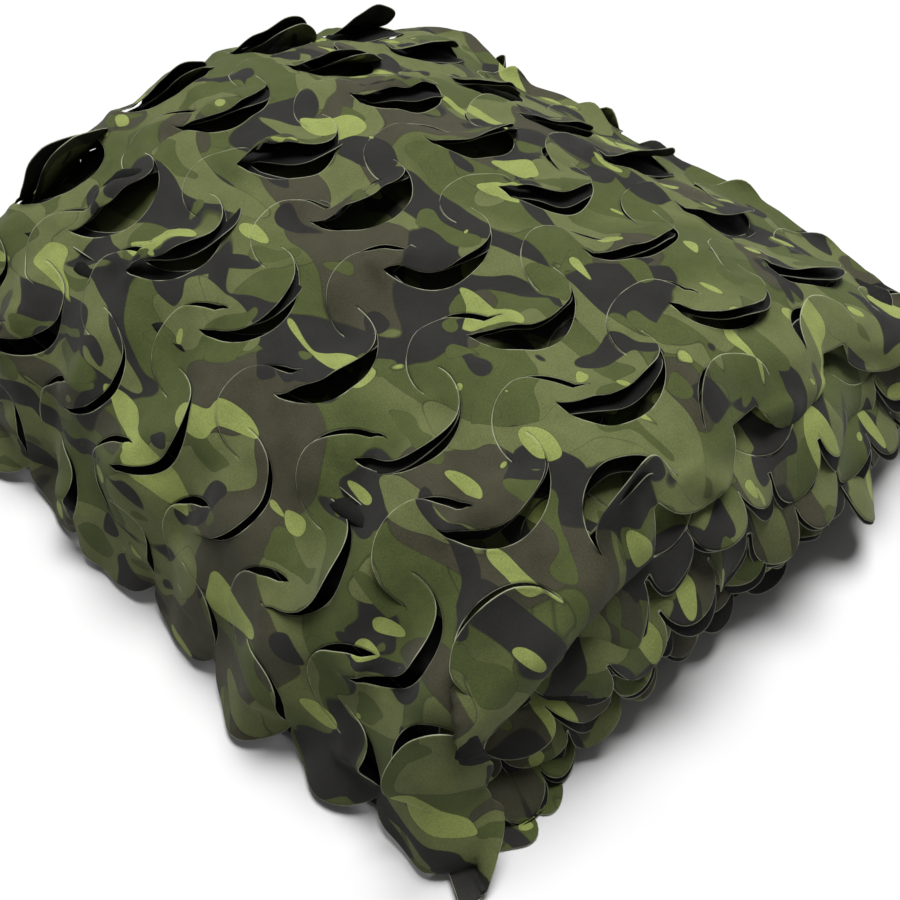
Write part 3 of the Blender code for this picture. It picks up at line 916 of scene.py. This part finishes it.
def grid_points(stretch, low_x, high_x):
    """The points inside a stretch: close together where it shows, and wider apart inside the pile."""
    box = (low_x, stretch.start + GRID_START), (high_x, stretch.end)
    if stretch is COVER:
        return hex_grid(*box, COVER_GRID)
    if stretch.kind == "turn" or stretch is UNDER:
        return hex_grid(*box, TURN_GRID)
    found = []
    for step, at_edge in ((EDGE_GRID, True), (LAYER_GRID, False)):
        points = hex_grid(*box, step)
        inside = np.minimum(points[:, 0] - stretch.row["back"], stretch.row["front"] - points[:, 0])
        found.append(points[(inside < EDGE_ZONE) == at_edge])
    return np.concatenate(found)


def clear_of(points, others, distance):
    """The points that are at least this far from all the others."""
    tree = KDTree(len(others))
    for i, (x, y) in enumerate(others):
        tree.insert((x, y, 0), i)
    tree.balance()
    return np.array([p for p in points if tree.find((p[0], p[1], 0))[2] > distance])


def cut_cloth(stretches, cuts, arc_step):
    """The flat cloth of these stretches, cut: (points, triangles, which points lie on a cut, leaf sides)."""
    outline = outline_points(stretches, arc_step)
    count = len(outline)
    edges = [(i, (i + 1) % count) for i in range(count)]
    lines, rings = [outline], [inset(outline, EDGE_RING)]
    for cut in cuts:
        steps = round((cut["ends"][1] - cut["ends"][0]) * cut["radius"] / arc_step)
        lines.append(arc(cut, cut["radius"], steps + 1))
        edges += [(count + i, count + i + 1) for i in range(steps)]
        count += steps + 1
        rings += [arc(cut, cut["radius"] + by, steps + 1)[1:-1] for by in (-EDGE_RING, EDGE_RING)]
    fixed = np.concatenate(lines)
    rings = clear_of(inside_outline(np.concatenate(rings), outline), fixed, EDGE_RING * RING_ROOM)
    cells = np.concatenate([grid_points(s, outline[:, 0].min(), outline[:, 0].max()) for s in stretches])
    cells = clear_of(inside_outline(cells, outline), np.concatenate([fixed, rings]), COVER_GRID * GRID_ROOM)
    everything = np.concatenate([fixed, rings, cells])
    flat, _, faces, sources = delaunay_2d_cdt(
        [Vector(p) for p in everything], edges, [list(range(len(outline)))], 1, 1e-7
    )[:4]
    flat, faces = np.array([tuple(p) for p in flat]), np.array(faces)
    new_index = np.full(len(everything), -1)
    for new, olds in enumerate(sources):
        new_index[list(olds)] = new

    # Both sides of a slit get points of their own, so that it can open.
    on_cut = np.zeros(len(flat), bool)
    on_cut[new_index[: len(outline)]] = True
    middles = flat[faces].mean(1)
    sides = []
    first = len(outline)
    for cut, line in zip(cuts, lines[1:]):
        ids = new_index[first + 1 : first + len(line) - 1]
        first += len(line)
        on_cut[ids] = True
        copies = len(flat) + np.arange(len(ids))
        remap = np.arange(len(flat))
        remap[ids] = copies
        near = np.hypot(middles[:, 0] - cut["x"], middles[:, 1] - cut["length"]) < cut["radius"]
        faces[near] = remap[faces[near]]
        flat = np.concatenate([flat, flat[ids]])
        on_cut = np.concatenate([on_cut, np.ones(len(ids), bool)])
        sides.append(copies)
    return flat, faces, on_cut, sides


def bend_profile(reach, total):
    """How far out and up a strip of this reach gets along its length, as its angle grows to the total."""
    part = np.linspace(0, 1, BEND_STEPS + 1)
    angle = total * ((part[1:] + part[:-1]) / 2) ** LEAF_BEND_POWER
    out, up = (np.concatenate([[0], np.cumsum(way(angle))]) * reach / BEND_STEPS for way in (np.cos, np.sin))
    return part * reach, out, up


def leaf_points(cut, side, flat, ids):
    """How far these points lie ahead and aside of a leaf's middle, and which of them are on the leaf."""
    dx, dy = cut["facing"] * (flat[ids, 0] - cut["x"]), flat[ids, 1] - cut["length"]
    return dx, dy, (np.hypot(dx, dy) < cut["radius"] - SAME_PLACE) | np.isin(ids, side)


def bend_leaves(flat, cuts, sides):
    """How far each point moves off the print, along x and along the strip, as its leaf turns up and buckles."""
    moved = np.zeros((len(flat), 3))
    for cut, side in zip(cuts, sides):
        radius, gap = cut["radius"], cut["gap"]
        root = LEAF_ROOT * radius
        near = np.nonzero(np.hypot(flat[:, 0] - cut["x"], flat[:, 1] - cut["length"]) < 2 * radius)[0]
        dx, dy, in_leaf = leaf_points(cut, side, flat, near)
        round_middle = np.arctan2(dy, dx)

        # The whole leaf bends along its length.
        across = dx * math.cos(cut["twist"]) + dy * math.sin(cut["twist"])
        reach = radius * (1 - LEAF_ROOT)
        along = np.clip(across - root, 0, reach)
        grow = rises(dx / radius, LEAF_ROOT, LEAF_GROW)
        lengths, out, up = bend_profile(reach, cut["bend"])
        ruffle = cut["wave"] * np.sin(RIM_WAVES * round_middle + cut["phase"]) + cut["cup"] * (dy / radius) ** 2
        lift = np.interp(along, lengths, up) + ruffle * (along / reach) ** 2
        short = along - np.interp(along, lengths, out)

        # Its rim is pulled in from the slit and buckles up.
        turn = np.arctan2(dy, dx - root)
        rim = np.sqrt(np.clip(radius**2 - (root * np.sin(turn)) ** 2, 0, None)) - root * np.cos(turn)
        part = np.clip(np.hypot(dx - root, dy) / rim, 0, 1)
        weight = np.exp(-(((turn - cut["at"]) / cut["spread"]) ** 4)) * falls(abs(turn), HALF_ANGLE, RIM_FADE)
        pull = gap * weight * part**PULL_POWER
        buckle = cut["rise"] * part**LIFT_POWER + cut["arch"] * np.sin(math.pi * part)
        lift += gap * weight * buckle / np.maximum(grow, LEAST_GROW)

        inward = -cut["facing"] * (short * grow + pull * np.cos(turn))
        step = np.stack([lift * grow, inward, -pull * np.sin(turn)], 1)
        if sum(cut["ends"]) < 0:
            step *= falls(round_middle, cut["ends"][1], SHORT_FADE)[:, None]
        moved[near[in_leaf]] += step[in_leaf]
        beside = bell(np.hypot(dx, dy), radius, DIP["width"]) * np.clip(dx / radius, 0, 1)
        dip = min(DIP["height"] * abs(up[-1]) + DIP["gap"] * gap, DIP["most"]) * (1 if cut["bend"] >= 0 else -1)
        moved[near[~in_leaf], 0] -= (dip * beside)[~in_leaf]
    return moved


def spring_leaves(flat, points, cuts, sides):
    """Lets the leaves that lie across a fold go straight on from the layer above it."""
    for cut, side in zip(cuts, sides):
        if "spring" not in cut:
            continue
        spring = cut["spring"]
        dx, _, in_leaf = leaf_points(cut, side, flat, np.arange(len(flat)))
        mine = np.nonzero(in_leaf & (flat[:, 1] < spring["from"]))[0]
        x, ahead = flat[mine, 0], spring["from"] - flat[mine, 1]
        angle = spring["rise"] * np.clip(ahead / SPRING_OVER, 0, 1)
        start = folded(x, np.full_like(x, spring["from"]))
        free = start + ahead[:, None] * np.stack([0 * x, np.cos(angle), np.sin(angle)], 1)
        share = spring["straight"] * rises(dx[mine] / cut["radius"], *SPRING_GROW)
        points[mine] += share[:, None] * (free - points[mine])
    return points


def rolled(reach, rate, start=0.0):
    """(fall, short) of a strip of this reach that bends down from the angle at its start by this rate."""
    rate = np.where(abs(rate) < LEAST_RATE, LEAST_RATE, rate)
    end = start + rate * reach
    return (np.cos(start) - np.cos(end)) / rate, reach - (np.sin(end) - np.sin(start)) / rate


def droop_edge(stretch, side, flat, points, across, normal):
    """Rolls a long edge of a stretch down, and bends, cups and tilts each of its tabs."""
    layer, front, cover, turn = stretch.layer, side == "front", stretch is COVER, stretch.kind == "turn"
    near = np.nonzero(stretch.holds(flat[:, 1], NEAR_TAB["depth"] if cover else 0.0))[0]
    beyond = OUTWARD[side] * (flat[near, 0] - notch_x(stretch, side, flat[near, 1]))
    near, beyond = near[beyond > -ROLL_REACH], beyond[beyond > -ROLL_REACH]
    inner, outer = np.clip(beyond, -ROLL_REACH, 0) + ROLL_REACH, np.clip(beyond, 0, None)
    x, length = flat[near].T
    y = stretch.flat_y(length)
    level = np.full_like(y, LAYER_SHIFT * printed(layer))
    if turn:
        level += stretch.part(length) * LAYER_SHIFT * (printed(layer + 1) - printed(layer))
    level *= ROLL_SHIFT

    common = EDGE_ROLL + waves("roll", y, level)
    if front:
        share = np.clip((printed(layer) - COVER_ROLL_FROM) / COVER_ROLL_OVER, 0, 1)
        common = (1 - share) * common + share * np.radians(cover_front("roll", y))
    own = cup = lean = np.zeros_like(y)
    if not turn:
        tabs = tabs_at(layer, side, y)
        ends = (1.0 if cover else falls(length, stretch.end, END_FADE)) * rises(length, stretch.start, END_FADE)
        lean = tabs["lean"] * outer * ends
        if front and layer >= TOP - 1:
            cup = waves("cover_edge", y, x) * cover * ends
        else:
            own = np.maximum(tabs["droop"] + TAB_DROOP + waves("droop", y, level), LEAST_DROOP) * ends
            cup = (tabs["cup"] * tabs["across"] ** 2 + TAB_SLOPE * tabs["slope"] * tabs["across"]) * ends

    fall, short = rolled(inner, common * inner / ROLL_REACH / np.maximum(inner, 1e-6))
    tip_fall, tip_short = rolled(outer, common / ROLL_REACH * TIP_ROLL + own / TAB_DEPTH, common)
    lift = cup * smooth_step(outer / CUP_OVER) - (fall + tip_fall)
    inward = OUTWARD[side] * (short + tip_short)
    if cover:
        points[near] += lift[:, None] * normal[near] - inward[:, None] * across[near]
    else:
        points[near] += np.stack([-inward, lean, lift], 1)


def wrinkle(flat, points, normal, stretches, cuts):
    """Moves points off the print by soft waves and creases, and by puckers at the ends of the slits."""
    x, length = flat.T
    above = points[:, 0], points[:, 1]
    fine = waves("cloth", x, length)
    folds = creases(*above) + waves("pile", *above) + waves("pile_small", *above)
    for stretch in stretches:
        mine = stretch.holds(length)
        if stretch is COVER:
            below = length - stretch.start - CROWN_LENGTH
            swing = waves("hanging", x, HANGING_SLANT * length) + waves("hanging_small", x, length)
            hem = rises(below, *HEM_FROM) * between(x, HEM_X, HEM_OUT)
            amount = folds + fine + rises(below, *HANGING_FROM) * swing + hem + puckers(flat, cuts)
            points[mine] += (amount[:, None] * normal)[mine]
        else:
            points[mine, 2] += ((folds * stretch.layer / TOP) + fine)[mine]
    return points


def vary_folds(points, stretches, flat):
    """Gives each fold at the right side its own line, in and out and up and down."""
    for stretch in stretches:
        near = rises(points[:, 1], RIGHT_FOLDS_FROM, RIGHT_Y - RIGHT_FOLDS_FROM) * stretch.holds(flat[:, 1])
        line = np.full(len(points), RIGHT_SHIFT * printed(stretch.layer + (stretch.kind == "turn")))
        points[:, 1] += near * (waves("folds_out", points[:, 0], line) - RIGHT_IN)
        wave = waves("folds_up", points[:, 0], line * RIGHT_UP_SHIFT) - RIGHT_DOWN
        points[:, 2] += near * wave * np.clip(points[:, 2] / RIGHT_GROUND, 0, 1)
    return points


def corner_fold(flat, points, normal):
    """Lays a pointed fold of the cover over towards the hanging side, at the near corner."""
    tip, root = np.array(CORNER_FOLD["tip"]), np.array(CORNER_FOLD["root"])
    size = np.linalg.norm(root - tip)
    way = (root - tip) / size
    place = np.stack([flat[:, 0], COVER.flat_y(flat[:, 1])], 1) - tip
    along = place @ way / size
    beside = place @ np.array([-way[1], way[0]])
    width = np.where(beside > 0, CORNER_FOLD["steep_side"], CORNER_FOLD["long_side"])
    height = bell(beside, 0, width) * np.clip(1 - along, 0, 1) ** CORNER_FOLD["power"]
    height = height * rises(along, *CORNER_FOLD["fade"]) * (flat[:, 1] >= COVER.start)
    return points + height[:, None] * (np.array(CORNER_FOLD["lean"]) + CORNER_FOLD["rise"] * normal)


def puckers(flat, cuts):
    """Small ridges and dents at the ends of the slits."""
    total = np.zeros(len(flat))
    for cut in cuts:
        for place in arc(cut, cut["radius"], 2):
            turn = CHANCE.uniform(0, math.pi)
            dx, dy = (flat - place).T
            along = dx * math.cos(turn) + dy * math.sin(turn)
            beside = -dx * math.sin(turn) + dy * math.cos(turn)
            height = pick(PUCKERS["height"])
            total += height * np.exp(-((along / PUCKERS["along"]) ** 2) - (beside / PUCKERS["beside"]) ** 2)
    return total


def flare_hem(flat, points, normal):
    """Lets the hem's scallops stand off the bundle, and lays its long tab out on the ground."""
    x, along = flat[:, 0], COVER.end - flat[:, 1]
    near = np.clip(1 - np.clip(along, 0, None) / HEM_FLARE_OVER, 0, 1) ** HEM_FLARE_POWER
    amount = HEM_FLARE[0] + (HEM_FLARE[1] - HEM_FLARE[0]) * hem_scallop(x) + waves("hem", x, 0 * x)
    points += (near * amount)[:, None] * normal
    out = np.clip(-along, 0, None)
    way_x, way_y = NEAR_TAB["way"]
    return points + np.stack([way_x * out, way_y * out, NEAR_TAB["curl"] * out**2], 1)


def new_object(name, data):
    """A new object in the scene."""
    thing = bpy.data.objects.new(name, data)
    bpy.context.scene.collection.objects.link(thing)
    return thing


def cloth_mesh(name, flat, points, faces, on_cut):
    """The mesh of a piece of cloth, with its flat places as uv and its cut edges marked as rim."""
    mesh = bpy.data.meshes.new(name)
    mesh.from_pydata(points.tolist(), [], faces.tolist())
    uv = mesh.uv_layers.new(name="cloth")
    corners = np.zeros(len(mesh.loops), np.int32)
    mesh.loops.foreach_get("vertex_index", corners)
    uv.data.foreach_set("uv", flat[corners].astype(np.float32).ravel())
    rim = mesh.attributes.new("rim", "FLOAT", "POINT")
    rim.data.foreach_set("value", on_cut.astype(np.float32))
    return mesh


def cloth_piece(name, stretches, cuts, arc_step, materials):
    """One piece of the strip as a mesh object with its folds, leaves, edges, wrinkles and thickness."""
    cover = COVER in stretches
    flat, faces, on_cut, sides = cut_cloth(stretches, cuts, arc_step)
    points, across, along, normal = strip_frame(*flat.T)
    points = vary_folds(spring_leaves(flat, points, cuts, sides), stretches, flat)
    moved = bend_leaves(flat, cuts, sides)
    points = wrinkle(flat, points, normal, stretches, cuts)
    points = points + moved[:, :1] * normal + moved[:, 1:2] * across + moved[:, 2:] * along
    if cover:
        points = flare_hem(flat, points, normal)
    for stretch in stretches:
        for side in OUTWARD:
            droop_edge(stretch, side, flat, points, across, normal)
    if cover:
        points = corner_fold(flat, points, normal)
    points[:, 2] = np.maximum(points[:, 2], LOWEST)

    mesh = cloth_mesh(name, flat, points, faces[:, ::-1], on_cut)
    for material in materials:
        mesh.materials.append(material)
    mesh.validate()
    mesh.shade_smooth()
    piece = new_object(name, mesh)
    thicken = piece.modifiers.new("thickness", "SOLIDIFY")
    thicken.thickness = THICKNESS
    thicken.offset = 0.0
    thicken.material_offset = 1
    thicken.material_offset_rim = 2

    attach(piece, "root")
    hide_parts("camouflage_net")


class Nodes:
    """Short calls for building one material's nodes."""

    def __init__(self, name):
        self.material = bpy.data.materials.new(name)
        self.material.use_nodes = True
        self.tree = self.material.node_tree

    def add(self, kind, inputs=(), **settings):
        node = self.tree.nodes.new("ShaderNode" + kind)
        for key, value in settings.items():
            setattr(node, key, value)
        self.put(node, dict(inputs))
        return node

    def put(self, node, inputs):
        for key, value in inputs.items():
            if isinstance(value, bpy.types.NodeSocket):
                self.tree.links.new(value, node.inputs[key])
            else:
                node.inputs[key].default_value = value

    def surface(self, inputs):
        """Sets the look of the material, and returns it."""
        self.put(self.tree.nodes["Principled BSDF"], inputs)
        return self.material

    def uv(self):
        return self.add("UVMap", uv_map="cloth").outputs["UV"]

    def rim(self):
        """1 on the cut edges of the cloth, 0 off them."""
        return self.add("Attribute", attribute_name="rim").outputs["Fac"]

    def math(self, operation, a, b=0.0):
        return self.add("Math", {0: a, 1: b}, operation=operation).outputs[0]

    def plus(self, a, b):
        return self.math("ADD", a, b)

    def times(self, a, b):
        return self.math("MULTIPLY", a, b)

    def grained(self, grain, least, more):
        return self.plus(least, self.times(grain, more))

    def step(self, value, low, high):
        """0 below low, 1 above high, smooth between."""
        inputs = {"Value": value, "From Min": low, "From Max": high}
        return self.add("MapRange", inputs, interpolation_type="SMOOTHSTEP").outputs["Result"]

    def mix(self, factor, a, b, blend="MIX"):
        return self.add("Mix", {"Factor": factor, 6: a, 7: b}, data_type="RGBA", blend_type=blend).outputs[2]

    def noise(self, vector, scale, detail, roughness, distortion=0.0):
        inputs = {"Vector": vector, "Scale": scale, "Detail": detail, "Roughness": roughness, "Distortion": distortion}
        return self.add("TexNoise", inputs, noise_dimensions="2D").outputs["Fac"]

    def moved(self, vector, place, turn, scale):
        inputs = {"Vector": vector, "Location": place, "Rotation": (0, 0, turn), "Scale": scale}
        return self.add("Mapping", inputs).outputs["Vector"]

    def weave(self, uv, strength):
        """The bump of a fine plain weave with a little grain."""
        inputs = {"Vector": uv, "Scale": THREADS, "Distortion": THREAD_DISTORTION, "Detail": 0.0}
        threads = self.plus(*(self.add("TexWave", inputs, bands_direction=way).outputs["Fac"] for way in "XY"))
        grain, soft = self.noise(uv, *GRAIN), self.noise(uv, *SOFT_GRAIN)
        height = self.plus(self.times(threads, THREAD_HEIGHT), self.plus(grain, self.times(soft, SOFT_HEIGHT)))
        bump = self.add("Bump", {"Height": height, "Strength": strength, "Distance": WEAVE_HEIGHT})
        return bump.outputs["Normal"], grain, soft


def printed_material():
    nodes = Nodes("printed_cloth")
    uv = nodes.uv()
    ground = nodes.step(nodes.noise(uv, *GROUND_NOISE), *GROUND_STEP)
    colour = nodes.mix(ground, PRINT["base"], PRINT["green"])
    for name, place, turn, scale, level, detail, distortion in BLOBS:
        field = nodes.noise(nodes.moved(uv, place, turn, scale), 1.0, detail, BLOB_ROUGHNESS, distortion)
        away = nodes.math("ABSOLUTE", nodes.math("SUBTRACT", field, level))
        line = nodes.math("SUBTRACT", 1.0, nodes.step(away, *BLOB_LINE))
        colour = nodes.mix(nodes.times(line, LINE_STRENGTH), colour, PRINT["line"])
        colour = nodes.mix(nodes.step(field, level - BLOB_EDGE, level + BLOB_EDGE), colour, PRINT[name])
    normal, grain, soft = nodes.weave(uv, PRINTED_BUMP)
    shade = nodes.plus(SHADE[0], nodes.plus(nodes.times(grain, SHADE[1]), nodes.times(soft, SHADE[2])))
    grey = nodes.add("CombineColor", {"Red": shade, "Green": shade, "Blue": shade}).outputs["Color"]
    colour = nodes.mix(1.0, colour, grey, "MULTIPLY")
    wear = nodes.step(nodes.noise(uv, *WEAR), *WEAR_STEP)
    colour = nodes.mix(nodes.times(nodes.step(nodes.rim(), *PRINTED_RIM), wear), colour, PALE_EDGE)
    roughness = nodes.grained(grain, *PRINTED_ROUGHNESS)
    sheen = {"Specular IOR Level": 0.16, "Sheen Weight": 0.04, "Sheen Roughness": 0.4}
    return nodes.surface({"Base Color": colour, "Normal": normal, "Roughness": roughness, **sheen})


def reverse_material():
    nodes = Nodes("black_reverse")
    normal, grain, soft = nodes.weave(nodes.uv(), REVERSE_BUMP)
    colour = nodes.mix(nodes.step(nodes.rim(), *REVERSE_RIM), nodes.mix(grain, *REVERSE), REVERSE_EDGE)
    roughness = nodes.grained(soft, *REVERSE_ROUGHNESS)
    inputs = {"Base Color": colour, "Normal": normal, "Roughness": roughness, "Specular IOR Level": 0.10}
    return nodes.surface(inputs)


def edge_material():
    nodes = Nodes("cut_edge")
    uv = nodes.uv()
    colour = nodes.mix(nodes.noise(uv, *EDGE_GRAIN), DULL_EDGE, PALE_EDGE)
    patch = nodes.step(nodes.noise(uv, *EDGE_PATCHES), *EDGE_STEP)
    return nodes.surface({"Base Color": nodes.mix(patch, DARK_EDGE, colour), "Roughness": 0.8})


def add_net():
    materials = [printed_material(), reverse_material(), edge_material()]
    cuts = cover_cuts()
    cuts += under_cuts(cuts) + top_turn_cuts()
    cloth_piece("net_cover", [UNDER, TOP_TURN, COVER], cuts, COVER_ARC_STEP, materials)
    groups = {"net_upper_layers": (7, 10), "net_middle_layers": (4, 6), "net_lower_layers": (0, 3)}
    for name, (first, last) in groups.items():
        mine = [s for s in STRETCHES if first <= s.layer <= last]
        cuts = [cut for s in mine if s.kind == "layer" for cut in layer_cuts(s)]
        cuts += [cut for s in mine if s.kind == "turn" and not s.leftward for cut in turn_cuts(s)]
        cloth_piece(name, mine, cuts, LAYER_ARC_STEP, materials)


def add_studio():
    world = bpy.data.worlds.new("studio")
    world.use_nodes = True
    background = world.node_tree.nodes["Background"]
    background.inputs["Color"].default_value = (1, 1, 1, 1)
    background.inputs["Strength"].default_value = WORLD_STRENGTH
    bpy.context.scene.world = world
    bpy.context.scene.view_settings.view_transform = "Standard"
    light = bpy.data.lights.new("key", "SUN")
    light.energy = SUN_POWER
    light.angle = SUN_WIDTH
    lamp = new_object("key", light)
    lamp.location = Vector(SUN_WAY) * 2
    lamp.rotation_euler = Vector(SUN_WAY).to_track_quat("Z", "Y").to_euler()
    mesh = bpy.data.meshes.new("floor")
    corners = [(x * FLOOR_HALF, y * FLOOR_HALF, FLOOR_Z) for x, y in ((-1, -1), (1, -1), (1, 1), (-1, 1))]
    mesh.from_pydata(corners, [], [(0, 1, 2, 3)])
    mesh.materials.append(Nodes("pale_floor").surface({"Base Color": FLOOR_COLOUR, "Roughness": FLOOR_ROUGHNESS}))
    new_object("floor", mesh)


def add_camera():
    data = bpy.data.cameras.new("camera")
    data.lens = CAMERA_LENS
    data.sensor_width = CAMERA_SENSOR
    camera = new_object("camera", data)
    camera.location = CAMERA_PLACE
    camera.rotation_euler = Vector(CAMERA_LOOK).to_track_quat("-Z", "Y").to_euler()
    bpy.context.scene.camera = camera


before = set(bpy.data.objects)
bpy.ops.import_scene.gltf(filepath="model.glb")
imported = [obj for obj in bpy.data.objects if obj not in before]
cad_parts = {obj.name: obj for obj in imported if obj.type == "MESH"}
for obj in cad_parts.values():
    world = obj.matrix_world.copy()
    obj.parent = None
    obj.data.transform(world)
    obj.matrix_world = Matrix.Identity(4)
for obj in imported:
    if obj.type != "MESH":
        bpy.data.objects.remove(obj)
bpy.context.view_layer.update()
add_net()
add_studio()
add_camera()
